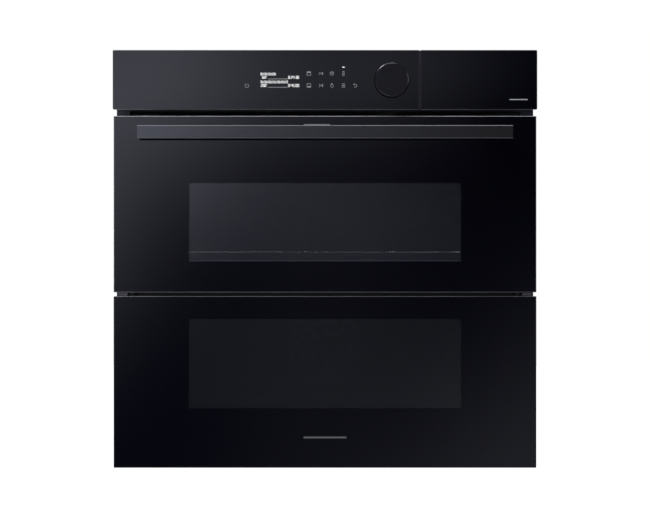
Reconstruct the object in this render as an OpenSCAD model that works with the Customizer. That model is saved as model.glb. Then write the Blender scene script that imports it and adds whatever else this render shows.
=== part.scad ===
// Built-in electric wall oven with a split door: the upper half opens alone, or both halves open together.
// Millimetres. +Z is up and the front faces -Y. Inside the modules, y = 0 is the cabinet's front face,
// and place() moves everything so that the origin is the middle of the oven's footprint.

/* [Front] */
// Width of the control panel, the widest piece
panel_w = 595; // [580:1:600]
// Height of the control panel
panel_h = 83.5; // [78:0.5:90]
// Width of both door glasses
door_w = 592.5; // [586:0.5:594]
// Height of the lower door glass
lower_h = 240.5; // [230:0.5:250]
// Height of the upper door glass
upper_h = 247; // [240:0.5:255]
// Gap between the two doors, where the folding hinge lies
split_gap = 5.5; // [5.5:0.5:6.5]
// Air gap between the upper door and the control panel
vent_gap = 9; // [8:0.5:12]
// How far the front stands out from the cabinet
front_t = 21; // [21:0.5:23]
// Thickness of the front glasses
glass_t = 4; // [3.5:0.5:5]

/* [Handle and dial] */
// Length of the handle bar
handle_w = 522; // [440:2:540]
// Height of the handle bar
handle_h = 18; // [16:0.5:22]
// Distance from the door glass to the front of the bar
handle_reach = 41; // [36:1:48]
// Radius of the dial
dial_r = 23.6; // [18:0.2:26]
// How far the dial stands out from the panel
dial_reach = 18; // [14:1:22]
// Push travel of the dial
dial_travel = 1.2; // [0.8:0.1:1.5]
// Push travel of the door release lever
lever_travel = 3; // [2:0.5:3]

/* [Body] */
// Width of the casing behind the front
body_w = 556; // [550:1:558]
// Depth of the oven behind the cabinet's front face
body_d = 549; // [540:1:560]
// Height of the casing
body_h = 580; // [576:1:584]
// Width of the cavity
cavity_w = 440; // [420:2:450]
// Height of the cavity
cavity_h = 365; // [355:1:370]
// Height of the cavity floor above the base
cavity_z = 68; // [66:1:72]
// Depth at which the cavity's back wall stands
cavity_back = 425; // [415:1:430]

/* [Hidden] */
$fn = 48;

sheet = 0.9;                  // pressed steel of the casing
half_panel = panel_w / 2;
half_door = door_w / 2;
half_body = body_w / 2;
half_inside = half_body - sheet;
y_mid = (body_d - front_t - handle_reach) / 2;

// Heights of the front, from the base up
foot_h = 2;
z_door = 3;
z_split = z_door + lower_h;
z_upper = z_split + split_gap;
z_door_top = z_upper + upper_h;
z_panel = z_door_top + vent_gap;
z_panel_top = z_panel + panel_h;

// Depths of the door, from the glass back
y_glass = -front_t;
y_glass_back = y_glass + glass_t;
y_door_back = -4;
y_mid_pane = -2;
y_inner_pane = 9;
y_pack_back = y_inner_pane + 4;
y_flange = -1.5;

// The two door hinges: the main one low in the door, the folding one in the gap between the doors
main_axis = [-10, z_door + 8];
fold_axis = [y_glass + 2.7, z_split + split_gap / 2];
main_pin_r = 2.5;
fold_pin_r = 1.5;
running = 0.05;               // radial clearance of a pin that turns
hinge_x = 250;                // middle of each main hinge
arm_t = 6;

// Door frame: the outer block is behind the glass, the inner block goes into the mouth of the casing
column_in = 262;
column_out = 291;
pane_half = 266;
mid_pane_half = 252;
mouth_half = 268;
mouth_low = 24;
mouth_high = 494;
face_y = 18;                  // the plate around the cavity, behind the mouth
lower_pane_z = [30, 238];
upper_pane_z = [254, 488];
latch_x = 272;
latch_y = -10.5;

// Cavity and what hangs in it
cavity_half = cavity_w / 2;
cavity_top = cavity_z + cavity_h;
liner_t = 1.1;
corner_r = 14;
fan_z = [162, 332];
fan_cover_y = 385;
rack_levels = [100, 165, 240, 298.2, 352];
runner_x = 205.5;
runner_r = 2.2;
post_x = 211;
lamp_at = [330, 392];         // y and z of the lamp in the left wall
shelf_z = rack_levels[3] + runner_r + 0.3 + 3;
divider_z = rack_levels[2] + runner_r + 0.3;
tray_z = rack_levels[0] + runner_r + 0.3;

// Air channel above the cavity
duct_low = 462;
duct_high = z_panel;
blower_at = [0, 330];
blower_r = 80;

// Dial
dial_at = [93.3, 546.1];
dial_shaft_r = 3;
plunger_r = 4;

// Water tank, behind the right end of the control panel
seam_x = 132.6;
seam_gap = 0.6;
tank_x = [145, 267];
tank_y = [-5, 212];
tank_zs = [518, 568];
tank_wall = 2;

// Handle bar and the release lever in its top
bar_z = [463.4, 463.4 + handle_h];
bar_y = [y_glass - handle_reach, y_glass - handle_reach + 14];
post_span = [208, 256];
lever_x = -11;
lever_w = 36.5;
lever_slot = 0.5;

// ---------- helpers ----------

// Everything is modelled about the cabinet's face, then moved to the middle of the footprint
module place() translate([0, -y_mid, 0]) children();

// A block between two corners
module span(x, y, z) translate([x[0], y[0], z[0]]) cube([x[1] - x[0], y[1] - y[0], z[1] - z[0]]);

// A block that is centred on x = 0
module wide(half, y, z) span([-half, half], y, z);

module both_sides() {
    children();
    mirror([1, 0, 0]) children();
}

// A flat outline in x and z, given depth along y
module along_y(y) translate([0, y[1], 0]) rotate([90, 0, 0]) linear_extrude(y[1] - y[0]) children();

// A flat outline in y and z, given length along x
module along_x(x) translate([x[0], 0, 0]) rotate([90, 0, 90]) linear_extrude(x[1] - x[0]) children();

module rod_x(x, y, z, r) translate([x[0], y, z]) rotate([0, 90, 0]) cylinder(h = x[1] - x[0], r = r);
module rod_y(x, y, z, r) translate([x, y[1], z]) rotate([90, 0, 0]) cylinder(h = y[1] - y[0], r = r);
module rod_z(x, y, z, r) translate([x, y, z[0]]) cylinder(h = z[1] - z[0], r = r);

module round_rect(x, z, r) {
    translate([x[0] + r, z[0]]) square([x[1] - x[0] - 2 * r, z[1] - z[0]]);
    translate([x[0], z[0] + r]) square([x[1] - x[0], z[1] - z[0] - 2 * r]);
    for (a = [x[0] + r, x[1] - r], b = [z[0] + r, z[1] - r]) translate([a, b]) circle(r);
}

// A glass plate with round corners and a polished bevel around its front face
module glass_plate(x, y, z, bevel, r) {
    intersection() {
        along_y(y) round_rect(x, z, r);
        along_x(x) polygon([
            [y[0], z[0] + bevel], [y[0] + bevel, z[0]], [y[1], z[0]],
            [y[1], z[1]], [y[0] + bevel, z[1]], [y[0], z[1] - bevel]
        ]);
        translate([0, 0, z[0]]) linear_extrude(z[1] - z[0]) polygon([
            [x[0] + bevel, y[0]], [x[0], y[0] + bevel], [x[0], y[1]],
            [x[1], y[1]], [x[1], y[0] + bevel], [x[1] - bevel, y[0]]
        ]);
    }
}

// A row of rounded slots along x, cut through along y or z
module slot_row(count, pitch, length, width) {
    for (i = [0 : count - 1]) translate([(i - (count - 1) / 2) * pitch, 0])
        round_rect([-length / 2, length / 2], [-width / 2, width / 2], width / 2 - 0.05);
}

// Half a ring of wire or heater tube that joins two straight legs, opening towards -y
module tube_bend(bend_r, tube_r) rotate_extrude(angle = 180) translate([bend_r, 0]) circle(tube_r);

// ---------- casing ----------

module feet() color("#202020") place()
    for (x = [-240, 240], y = [70, 470]) rod_z(x, y, [0, foot_h], 10);

module base_pan() color("#b8bcc0") place() difference() {
    union() {
        wide(half_inside, [14, body_d - 20.4], [foot_h, foot_h + sheet]);
        both_sides() span([half_inside - sheet, half_inside], [14, body_d - 20.4], [foot_h, 16]);
        wide(half_inside, [14, 14 + sheet], [foot_h, 4]);
    }
    for (row = [0 : 2]) translate([0, 180 + row * 90, 0]) linear_extrude(10) slot_row(9, 50, 32, 6);
}

module side_panel() color("#b8bcc0") place() difference() {
    union() {
        span([half_inside, half_body], [0, body_d - 19], [foot_h, body_h - sheet]);
        for (z = [150, 420]) span([half_body, half_body + 0.8], [60, 480], [z, z + 26]);
        span([half_inside - 6, half_inside], [0.2, sheet + 0.2], [506, body_h - 6]);
    }
    for (z = [40, 492]) translate([0, 250, z]) rotate([90, 0, 90]) linear_extrude(half_panel) slot_row(8, 34, 22, 5);
}

module side_panel_right() side_panel();
module side_panel_left() mirror([1, 0, 0]) side_panel();

module top_cover() color("#b8bcc0") place() difference() {
    union() {
        wide(half_body, [0, body_d - 19], [body_h - sheet, body_h]);
        wide(180, [90, 430], [body_h, body_h + 1.5]);
    }
    translate([0, 470, body_h - 4]) linear_extrude(10) slot_row(9, 40, 26, 5);
    translate([0, 490, body_h - 4]) linear_extrude(10) slot_row(9, 40, 26, 5);
}

module rear_cover() color("#b8bcc0") place() difference() {
    union() {
        wide(half_inside, [body_d - 20.2, body_d - 19], [foot_h, body_h - sheet]);
        wide(150, [body_d - 19, body_d - 13], [100, 400]);
    }
    wide(148, [body_d - 22, body_d - 14.2], [102, 398]);
    for (z = fan_z, row = [-2 : 2]) translate([0, 0, z + row * 14]) along_y([body_d - 30, body_d])
        slot_row(5, 36, 26, 5);
    for (row = [0 : 2]) translate([110, 0, 470 + row * 14]) along_y([body_d - 30, body_d]) slot_row(5, 36, 26, 5);
    rod_y(-190, [body_d - 30, body_d], 530, 12);
}

module casing_screws() color("#d0d0d0") place() {
    for (x = [-262, 262], z = [30, 210, 390, 560]) screw([x, body_d - 19, z], [-90, 0, 0]);
    both_sides() for (y = [40, 500], z = [80, 540]) screw([half_body, y, z], [0, 90, 0]);
}

// A pan-head screw with a cross recess, standing on the sheet at a point
module screw(at, turn) translate(at) rotate(turn) difference() {
    cylinder(h = 1.8, r = 3.6);
    for (a = [0, 90]) rotate(a) translate([-2, -0.5, 0.9]) cube([4, 1, 2]);
}

// ---------- front frame and cavity ----------

module front_frame() color("#2b2e36") place() difference() {
    union() {
        wide(293, [y_flange, 0], [4, duct_high + 6]);
        wide(half_inside, [y_flange, 0], [duct_high, 578]);
        wide(mouth_half + 1.5, [0, face_y + 1.5], [mouth_low - 1.5, mouth_high + 1.5]);
    }
    wide(mouth_half, [y_flange - 1, face_y], [mouth_low, mouth_high]);
    along_y([y_flange - 1, 40]) round_rect(
        [-cavity_half - liner_t, cavity_half + liner_t], [cavity_z - liner_t, cavity_top + liner_t],
        corner_r + liner_t);
    wide(275, [y_flange - 1, 1], [496.8, duct_high - 1.2]);
    both_sides() span([hinge_x - 4, hinge_x + 4], [y_flange - 1, 1], [0, 18]);
    both_sides() for (z = cabinet_screw_z) rod_y(cabinet_screw_x, [-5, 5], z, cabinet_screw_r);
    span([tank_x[0] - 1.6, tank_x[1] + 1.6], [y_flange - 1, 1], [tank_zs[0] - 2.6, tank_zs[1] + 5.6]);
    wide(60, [y_flange - 1, 1], [530, 560]);
}

// Screws through the flange hold the oven in its cabinet
cabinet_screw_x = 287;
cabinet_screw_z = [120, 430];
cabinet_screw_r = 2.25;

module cavity_liner() color("#30353c") place() difference() {
    union() {
        along_y([face_y, cavity_back + liner_t]) round_rect(
            [-cavity_half - liner_t, cavity_half + liner_t], [cavity_z - liner_t, cavity_top + liner_t],
            corner_r + liner_t);
    }
    along_y([face_y - 1, cavity_back]) round_rect(
        [-cavity_half, cavity_half], [cavity_z, cavity_top], corner_r);
    for (z = fan_z) {
        rod_y(0, [cavity_back - 5, cavity_back + 5], z, 9);
        for (x = [-10, 10]) rod_y(x, [cavity_back - 5, cavity_back + 5], z + ring_r, 4.5);
    }
    for (x = [-grill_half, grill_half]) rod_y(x, [cavity_back - 5, cavity_back + 5], grill_z, 4.5);
    rod_x([-cavity_half - 5, -cavity_half + 5], lamp_at[0], lamp_at[1], 20);
    rod_x([cavity_half - 5, cavity_half + 5], probe_y, probe_z, 3.05);
}

ring_r = 74;
fan_r = 64;
grill_half = 150;
grill_z = 421;
probe_y = 300;
probe_z = 398;

module insulation() color("#d8cf9a") place() difference() {
    along_y([24, 452]) round_rect([-247, 247], [38, 460], 24);
    along_y([20, cavity_back + liner_t]) round_rect(
        [-cavity_half - liner_t, cavity_half + liner_t], [48, cavity_top + liner_t], corner_r + liner_t);
    for (z = fan_z) {
        rod_y(0, [cavity_back, 460], z, 14);
        for (x = [-10, 10]) rod_y(x, [cavity_back, 460], z + ring_r, 6);
    }
    for (x = [-grill_half, grill_half]) rod_y(x, [cavity_back, 460], grill_z, 6);
    for (x = [-120, 120]) rod_y(x, [cavity_back, 460], 58, 6);
    rod_x([-260, -cavity_half], lamp_at[0], lamp_at[1], 24);
    rod_x([cavity_half, 260], probe_y, probe_z, 7);
}

module cavity_gasket() color("#3a3a3a") place() difference() {
    along_y([y_pack_back + 0.4, face_y]) round_rect([-234, 234], [cavity_z - 10, cavity_top + 8], 22);
    along_y([0, 30]) round_rect([-226, 226], [cavity_z - 2, cavity_top], 16);
}

module fan_cover() color("#30353c") place() difference() {
    wide(185, [fan_cover_y, cavity_back - 0.2], [82, 412]);
    wide(185 - sheet, [fan_cover_y + sheet, cavity_back + 1], [82 + sheet, 412 - sheet]);
    for (z = fan_z) {
        rod_y(0, [fan_cover_y - 1, fan_cover_y + 3], z, 4);
        for (ring = [1 : 3], i = [0 : 8 * ring - 1]) rotate_about_fan(z, i * 45 / ring)
            rod_y(8 + 15 * ring, [fan_cover_y - 1, fan_cover_y + 3], 0, 4.5);
    }
    both_sides() for (z = [100 : 20 : 390]) span([180, 190], [394, 416], [z, z + 9]);
}

module rotate_about_fan(z, angle) translate([0, 0, z]) rotate([0, angle, 0]) children();

module ring_heaters() color("#6b6560") place() for (z = fan_z) {
    translate([0, 404, z]) rotate([90, 0, 0]) rotate_extrude() translate([ring_r, 0]) circle(3.2);
    for (x = [-10, 10]) rod_y(x, [402, 458], z + ring_r - 0.7, 2.6);
}

// Motors of the two convection fans and of the cooling blower
module motors() color("#a8a8a8") place() {
    for (z = fan_z) difference() {
        union() {
            rod_y(0, [462, 506], z, 32);
            span([-46, 46], [458, 462], [z - 12, z + 12]);
            rod_y(0, [506, 514], z, 12);
        }
        rod_y(0, [450, 496], z, 4 + running);
    }
    translate([blower_at[0], blower_at[1], 0]) difference() {
        union() {
            rod_z(0, 0, [518, 552], 30);
            for (a = [45 : 90 : 315]) rotate(a) span([20, 66], [-5, 5], [518, 521]);
            for (a = [45 : 90 : 315]) rotate(a) span([56, 66], [-5, 5], [duct_high, 518]);
        }
        rod_z(0, 0, [510, 545], 4 + running);
    }
}

module convection_fan_lower() color("#b9bcc0") place() convection_fan(fan_z[0]);
module convection_fan_upper() color("#b9bcc0") place() convection_fan(fan_z[1]);

// A flat impeller on a long shaft, which goes through the back wall to its motor
module convection_fan(z) {
    rod_y(0, [398, 492], z, 4);
    rod_y(0, [398, 414], z, 9);
    rod_y(0, [412, 413.2], z, fan_r);
    for (i = [0 : 11]) rotate_about_fan(z, i * 30) span([7, fan_r - 2], [398, 412.6], [-0.6, 0.6]);
}

module grill_heater() color("#6b6560") place() {
    leg_x = [for (i = [-2.5 : 1 : 2.5]) i * 60];
    leg_y = [70, 350];
    for (i = [0 : 5]) rod_y(leg_x[i], [leg_y[0], i == 0 || i == 5 ? 458 : leg_y[1]], grill_z, 3.2);
    for (i = [0, 2, 4]) translate([leg_x[i] + 30, leg_y[0], grill_z]) rotate(180) tube_bend(30, 3.2);
    for (i = [1, 3]) translate([leg_x[i] + 30, leg_y[1], grill_z]) tube_bend(30, 3.2);
}

module bottom_heater() color("#6b6560") place() {
    for (x = [-120, 120]) rod_y(x, [110, 458], 58, 3.2);
    for (x = [-40, 40]) rod_y(x, [110, 340], 58, 3.2);
    for (x = [-80, 80]) translate([x, 110, 58]) rotate(180) tube_bend(40, 3.2);
    translate([0, 340, 58]) tube_bend(40, 3.2);
}

module lamp_housing() color("#d9d4c8") place() {
    rod_x([-246, -cavity_half - liner_t], lamp_at[0], lamp_at[1], 22);
    rod_x([-cavity_half - liner_t - 0.1, -cavity_half + 1.5], lamp_at[0], lamp_at[1], 9);
}

module lamp_glass() color("#e8e8e0") place() difference() {
    union() {
        rod_x([-cavity_half, -cavity_half + 4], lamp_at[0], lamp_at[1], 24);
        rod_x([-cavity_half + 4, -cavity_half + 6], lamp_at[0], lamp_at[1], 19);
    }
    rod_x([-cavity_half - 1, -cavity_half + 3.5], lamp_at[0], lamp_at[1], 16);
}

module temperature_probe() color("#b0b0b0") place() {
    rod_x([140, 246], probe_y, probe_z, 3);
    rod_x([cavity_half + liner_t, cavity_half + 6], probe_y, probe_z, 6.5);
}

// Two posts, and a runner at each level that a tray or shelf slides on
module side_rack() color("#c0c2c4") place() {
    for (y = [56, 354]) {
        rod_z(post_x, y, [84, 372], 2.5);
        for (z = [90, 366]) rod_x([post_x, cavity_half], y, z, 2.2);
        for (z = rack_levels) rod_x([runner_x, post_x], y, z, 1.8);
    }
    for (z = rack_levels) rod_y(runner_x, [34, 374], z, runner_r);
}

module side_rack_right() side_rack();
module side_rack_left() mirror([1, 0, 0]) side_rack();

// ---------- loose pieces in the cavity ----------

// Two pressed trays on a sheet that lies on the runners, hollow between and open at the sides
module divider() color("#3a3f46") place() difference() {
    union() {
        wide(207, [24, 383], [divider_z, divider_z + 1.2]);
        wide(202, [26, 381], [divider_z - 4, divider_z + 11]);
    }
    wide(190, [42, 365], [divider_z + 10.4, divider_z + 20]);
    wide(250, [27.2, 379.8], [divider_z + 1.2, divider_z + 9]);
    wide(250, [27.2, 379.8], [divider_z - 2.8, divider_z]);
}

// The rim is a loop of rod, and the thinner wires hang below it on turned-up ends
module wire_shelf() color("#d4d6d8") place() {
    rim_y = [32, 370];
    rim_x = 203;
    wire_pitch = 21.4;
    wire_z = shelf_z - 9.3;
    for (y = rim_y) rod_x([-rim_x + 12, rim_x - 12], y, shelf_z, 3);
    for (x = [-rim_x, rim_x]) rod_y(x, [rim_y[0] + 12, rim_y[1] - 12], shelf_z, 3);
    for (c = [[rim_x - 12, rim_y[1] - 12, 0], [12 - rim_x, rim_y[1] - 12, 90],
              [12 - rim_x, rim_y[0] + 12, 180], [rim_x - 12, rim_y[0] + 12, 270]])
        translate([c[0], c[1], shelf_z]) rotate(c[2]) rotate_extrude(angle = 90) translate([12, 0]) circle(3);
    for (i = [-8 : 8]) {
        rod_y(i * wire_pitch, [rim_y[0] - 1, rim_y[1] + 1], wire_z, 1.6);
        for (y = rim_y) rod_z(i * wire_pitch, y, [wire_z, shelf_z], 1.4);
    }
}

module baking_tray() color("#30353c") place() difference() {
    union() {
        wide(207, [28, 376], [tray_z, tray_z + 1.5]);
        along_x([-196, 196]) polygon([
            [38, tray_z + 1.5], [46, tray_z - 26], [358, tray_z - 26], [366, tray_z + 1.5]
        ]);
    }
    along_x([-194, 194]) polygon([
        [39.6, tray_z + 2], [47.4, tray_z - 24.5], [356.6, tray_z - 24.5], [364.4, tray_z + 2]
    ]);
}

// ---------- cooling air ----------

module air_duct() color("#b8bcc0") place() difference() {
    union() {
        translate([0, 0, duct_low]) linear_extrude(duct_high - duct_low) duct_plan(0);
        wide(half_inside - 0.4, [0, 24], [495.6, duct_high]);
        wide(half_inside - 0.4, [20, 249.8], [duct_high - sheet, duct_high]);
        both_sides() span([84, half_inside - 0.4], [249, 300], [duct_high - sheet, duct_high]);
    }
    translate([0, 0, duct_low + sheet]) linear_extrude(duct_high - duct_low - 2 * sheet) duct_plan(sheet);
    wide(275, [-1, 26], [496.8, duct_high - sheet]);
}

// Plan of the duct: as wide as the outlet in front, narrow at the blower
module duct_plan(wall) polygon([
    [-half_inside + 0.4 + wall, 22 + wall], [half_inside - 0.4 - wall, 22 + wall],
    [half_inside - 0.4 - wall, 60], [100 - wall, 249.8 + wall], [-100 + wall, 249.8 + wall],
    [-half_inside + 0.4 + wall, 60]
]);

module blower_housing() color("#b8bcc0") place() difference() {
    union() {
        rod_z(blower_at[0], blower_at[1], [duct_low, duct_high], blower_r);
        span([-80, 80], [251.2, blower_at[1]], [duct_low, duct_high]);
    }
    rod_z(blower_at[0], blower_at[1], [duct_low + sheet, duct_high - sheet], blower_r - sheet);
    span([-80 + sheet, 80 - sheet], [240, blower_at[1]], [duct_low + sheet, duct_high - sheet]);
    rod_z(blower_at[0], blower_at[1], [duct_high - 5, duct_high + 5], 46);
}

module blower_wheel() color("#303030") place() translate([blower_at[0], blower_at[1], 0]) {
    rod_z(0, 0, [466, 540], 4);
    rod_z(0, 0, [466, 480], 12);
    rod_z(0, 0, [466, 468], 62);
    difference() {
        rod_z(0, 0, [496, 498], 62);
        rod_z(0, 0, [490, 500], 46);
    }
    for (i = [0 : 17]) rotate(i * 20) span([46, 61.5], [-0.8, 0.8], [467, 497]);
}

// ---------- control panel ----------

module panel_glass() color("#0b0b0d") place() difference() {
    glass_plate([-half_panel, seam_x], [y_glass, y_glass_back], [z_panel, z_panel_top], 0.6, 2);
    rod_y(dial_at[0], [y_glass - 1, y_glass_back + 1], dial_at[1], plunger_r + 0.5);
}

// Moulded carrier that holds the glass, the display and the dial's encoder on the front frame
module panel_frame() color("#1c1c1e") place() difference() {
    span([-half_panel + 2, seam_x + 2.4], [y_glass_back, y_flange], [z_panel + 2, z_panel_top - 0.4]);
    span([-half_panel + 4.5, seam_x - 0.2], [y_glass_back + 2.5, 0], [z_panel + 4.5, z_panel_top - 3]);
    span(display_x, [y_glass_back - 1, 0], display_z);
    rod_y(dial_at[0], [y_glass_back - 1, 0], dial_at[1], 10);
}

display_x = [-95, -31];
display_z = [532, 562];

module display_module() color("#101418") place() {
    span([display_x[0] + 0.2, display_x[1] - 0.2], [y_glass_back, -11], [display_z[0] + 0.2, display_z[1] - 0.2]);
    span([-110, 60], [-11, -9.4], [524, 570]);
}

module dial_encoder() color("#8c8f94") place() difference() {
    union() {
        rod_y(dial_at[0], [y_glass_back, -11], dial_at[1], 8);
        span([dial_at[0] - 9, dial_at[0] + 9], [-11, -3], [dial_at[1] - 9, dial_at[1] + 9]);
    }
    rod_y(dial_at[0], [-30, -6], dial_at[1], plunger_r + running);
}

// Sleeve that carries the dial and slides in the encoder when the dial is pushed
module dial_plunger() color("#c8cacc") place() difference() {
    rod_y(dial_at[0], [y_glass - 3, -8], dial_at[1], plunger_r);
    rod_y(dial_at[0], [y_glass - 10, 0], dial_at[1], dial_shaft_r + running);
}

module dial_knob() color("#17181b") place() {
    difference() {
        union() {
            rod_y(dial_at[0], [y_glass - dial_reach + 1, y_glass - 2.2], dial_at[1], dial_r);
            translate([dial_at[0], y_glass - dial_reach + 1, dial_at[1]]) rotate([90, 0, 0])
                cylinder(h = 1, r1 = dial_r, r2 = dial_r - 1, $fn = 96);
        }
        rod_y(dial_at[0], [y_glass - 9, 0], dial_at[1], dial_r - 3);
    }
    rod_y(dial_at[0], [y_glass - 10, -9.5], dial_at[1], dial_shaft_r);
    rod_y(dial_at[0], [y_glass - 10, y_glass - 3.4], dial_at[1], 9);
}

module control_board() color("#1f5a3a") place() {
    span([-250, -60], [60, 200], [514, 515.6]);
    for (x = [-235 : 28 : -95]) span([x, x + 18], [70, 92], [515.6, 531]);
    for (x = [-220, -180, -140]) rod_z(x, 130, [515.6, 538], 9);
    span([-110, -72], [110, 150], [515.6, 548]);
    span([-240, -160], [165, 190], [515.6, 524]);
    for (x = [-244, -66], y = [66, 194]) rod_z(x, y, [duct_high, 514], 3);
}

// ---------- water tank ----------

module tank_front() color("#0b0b0d") place()
    glass_plate([seam_x + seam_gap, half_panel], [y_glass, y_glass_back], [z_panel, z_panel_top], 0.6, 2);

module tank_tub() color("#9fb4c4") place() difference() {
    union() {
        span([seam_x + 3, half_panel - 2], [y_glass_back, tank_y[0]], [z_panel + 2, z_panel_top - 0.4]);
        span(tank_x, tank_y, tank_zs);
    }
    span([tank_x[0] + tank_wall, tank_x[1] - tank_wall], [tank_y[0] + tank_wall, tank_y[1] - tank_wall],
        [tank_zs[0] + tank_wall, tank_zs[1] + 1]);
}

module tank_lid() color("#c8d4dc") place() difference() {
    span(tank_x, [tank_y[0], tank_y[1]], [tank_zs[1], tank_zs[1] + 2]);
    span([176, 236], [20, 60], [tank_zs[1] - 1, tank_zs[1] + 5]);
}

// Sleeve in the casing that the tank slides into
module tank_housing() color("#2a2c30") place() difference() {
    union() {
        span([tank_x[0] - 2.6, tank_x[1] + 2.6], [0, tank_y[1] + 6], [tank_zs[0] - 2.6, tank_zs[1] + 5.6]);
        for (y = [40, 190]) span([160, 252], [y, y + 12], [duct_high, tank_zs[0] - 2]);
    }
    span([tank_x[0] - 1, tank_x[1] + 1], [-1, tank_y[1] + 4.4], [tank_zs[0] - 1, tank_zs[1] + 4]);
}

module steam_pump() color("#54585e") place() {
    span([160, 200], [228, 290], [duct_high + 8, 548]);
    rod_y(220, [240, 300], 528, 16);
    span([198, 210], [250, 270], [520, 536]);
    span([164, 196], [232, 286], [duct_high, duct_high + 8]);
}

// ---------- mains connection ----------

module terminal_block() color("#1a1a1a") place() difference() {
    union() {
        span([-230, -150], [body_d - 19, body_d], [500, 560]);
        rod_z(-190, body_d - 9.5, [486, 500], 9);
    }
    span([-227, -153], [body_d - 20, body_d - 2.5], [503, 557]);
    rod_z(-190, body_d - 9.5, [480, 510], 5.5);
}

// ---------- main hinges ----------

// Arm that hooks into the casing, with the eye that the door's pin turns in
module hinge_arms() color("#b0b4b8") place() both_sides() difference() {
    union() {
        rod_x([hinge_x - arm_t / 2, hinge_x + arm_t / 2], main_axis[0], main_axis[1], 6);
        span([hinge_x - arm_t / 2, hinge_x + arm_t / 2], [main_axis[0], 21],
            [main_axis[1] - 6, main_axis[1] + 6]);
        span([hinge_x - 8, hinge_x + 8], [20.2, 66], [foot_h + sheet, 36]);
    }
    rod_x([hinge_x - 20, hinge_x + 20], main_axis[0], main_axis[1], main_pin_r + running);
}

module hinge_cases() color("#a4a8ac") place() both_sides() difference() {
    union() {
        for (x = [hinge_x - 6, hinge_x + 3.4])
            span([x, x + 2.6], [y_glass_back + 0.4, -6], [5.4, 150]);
        span([hinge_x - 6, hinge_x + 6], [y_glass_back + 0.4, y_glass_back + 2], [20, 150]);
        span([hinge_x - 3.4, hinge_x + 3.4], [y_glass_back + 2, -6], [147, 150]);
        rod_z(hinge_x, -10.2, [60, 147], 3);
    }
    rod_x([hinge_x - 20, hinge_x + 20], main_axis[0], main_axis[1], main_pin_r);
}

module hinge_pins() color("#d0d2d4") place() both_sides() {
    rod_x([hinge_x - 6.5, hinge_x + 6.5], main_axis[0], main_axis[1], main_pin_r);
    rod_x([fold_x[0], fold_x[1]], fold_axis[0], fold_axis[1], fold_pin_r);
}

fold_x = [277, 289.5];
fold_knuckle_r = 2.4;

// One leaf of the folding hinge: knuckles on the pin, and a strip that runs back under or over the frame
module fold_leaf(knuckles, z, hole_r) difference() {
    for (x = knuckles) {
        rod_x(x, fold_axis[0], fold_axis[1], fold_knuckle_r);
        span(x, [fold_axis[0], -6], z);
    }
    rod_x([fold_x[0] - 1, fold_x[1] + 1], fold_axis[0], fold_axis[1], hole_r);
}

// ---------- lower door ----------

module lower_glass() color("#08080a") place()
    glass_plate([-half_door, half_door], [y_glass, y_glass_back], [z_door, z_split], 0.6, 1);

module upper_glass() color("#08080a") place()
    glass_plate([-half_door, half_door], [y_glass, y_glass_back], [z_upper, z_door_top], 0.6, 1);

// Folded steel side profile: a closed box behind the glass, and a narrower box that holds the inner panes
module column(z_outer, z_inner) both_sides() {
    difference() {
        span([column_in, column_out], [y_glass_back, y_door_back], z_outer);
        span([column_in + 2, column_out - 2], [y_glass_back + 2, y_door_back - 2], [z_outer[0] - 1, z_outer[1] + 1]);
    }
    difference() {
        span([mid_pane_half, pane_half], [y_door_back, y_inner_pane], z_inner);
        span([mid_pane_half + 1.5, pane_half - 1.5], [y_door_back + 1.5, y_inner_pane - 1.5],
            [z_inner[0] - 1, z_inner[1] + 1]);
    }
    span([mid_pane_half, column_in], [y_door_back - 2, y_door_back], z_inner);
}

// The middle and the inner pane
module panes(z) {
    wide(mid_pane_half, [y_mid_pane, y_mid_pane + glass_t], z);
    along_y([y_inner_pane, y_pack_back]) round_rect([-pane_half, pane_half], z, 3);
}

module lower_columns() color("#5a5d62") place() column([6.2, z_split - 2], lower_pane_z);
module upper_columns() color("#5a5d62") place() column([z_upper + 2, z_door_top - 2], upper_pane_z);
module lower_panes() color("#2a3034") place() panes(lower_pane_z);
module upper_panes() color("#2a3034") place() panes(upper_pane_z);

module lower_bottom_trim() color("#3a3c40") place() difference() {
    union() {
        along_x([-column_out, column_out]) polygon([
            [y_glass_back, z_door], [main_axis[0] + 1, z_door], [y_door_back, 6.2], [y_glass_back, 6.2]
        ]);
        wide(column_in, [y_door_back - 2, y_door_back], [6, lower_pane_z[0]]);
        wide(pane_half, [y_door_back, y_pack_back], [lower_pane_z[0] - 2, lower_pane_z[0]]);
    }
    both_sides() span([hinge_x - 4, hinge_x + 4], [main_axis[0] - 6.6, 0], [0, main_axis[1] + 7]);
    both_sides() span([hinge_x - 6, hinge_x + 6], [y_glass_back, -6], [5.4, 10]);
}

module lower_top_trim() color("#3a3c40") place() difference() {
    union() {
        wide(column_out, [y_glass_back, y_door_back], [z_split - 2, z_split]);
        wide(column_in, [y_door_back - 2, y_door_back], [lower_pane_z[1], z_split - 2]);
        wide(pane_half, [y_door_back, y_pack_back], [lower_pane_z[1], lower_pane_z[1] + 2]);
        both_sides() fold_leaf([[277, 281], [285.5, 289.5]], [z_split, z_split + 1.5], fold_pin_r);
    }
    both_sides() span([latch_x - 4.5, latch_x + 1.5], [latch_y - 3.5, y_door_back - 1.2], [z_split - 3, z_split + 4]);
    translate([0, -10.5, z_split - 5]) linear_extrude(8) slot_row(16, 30, 22, 4);
}

module split_seal() color("#4a4a4c") place()
    wide(pane_half - 2, [0, y_pack_back - 1], [lower_pane_z[1] + 2, upper_pane_z[0] - 2.4]);

// ---------- upper door ----------

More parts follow.
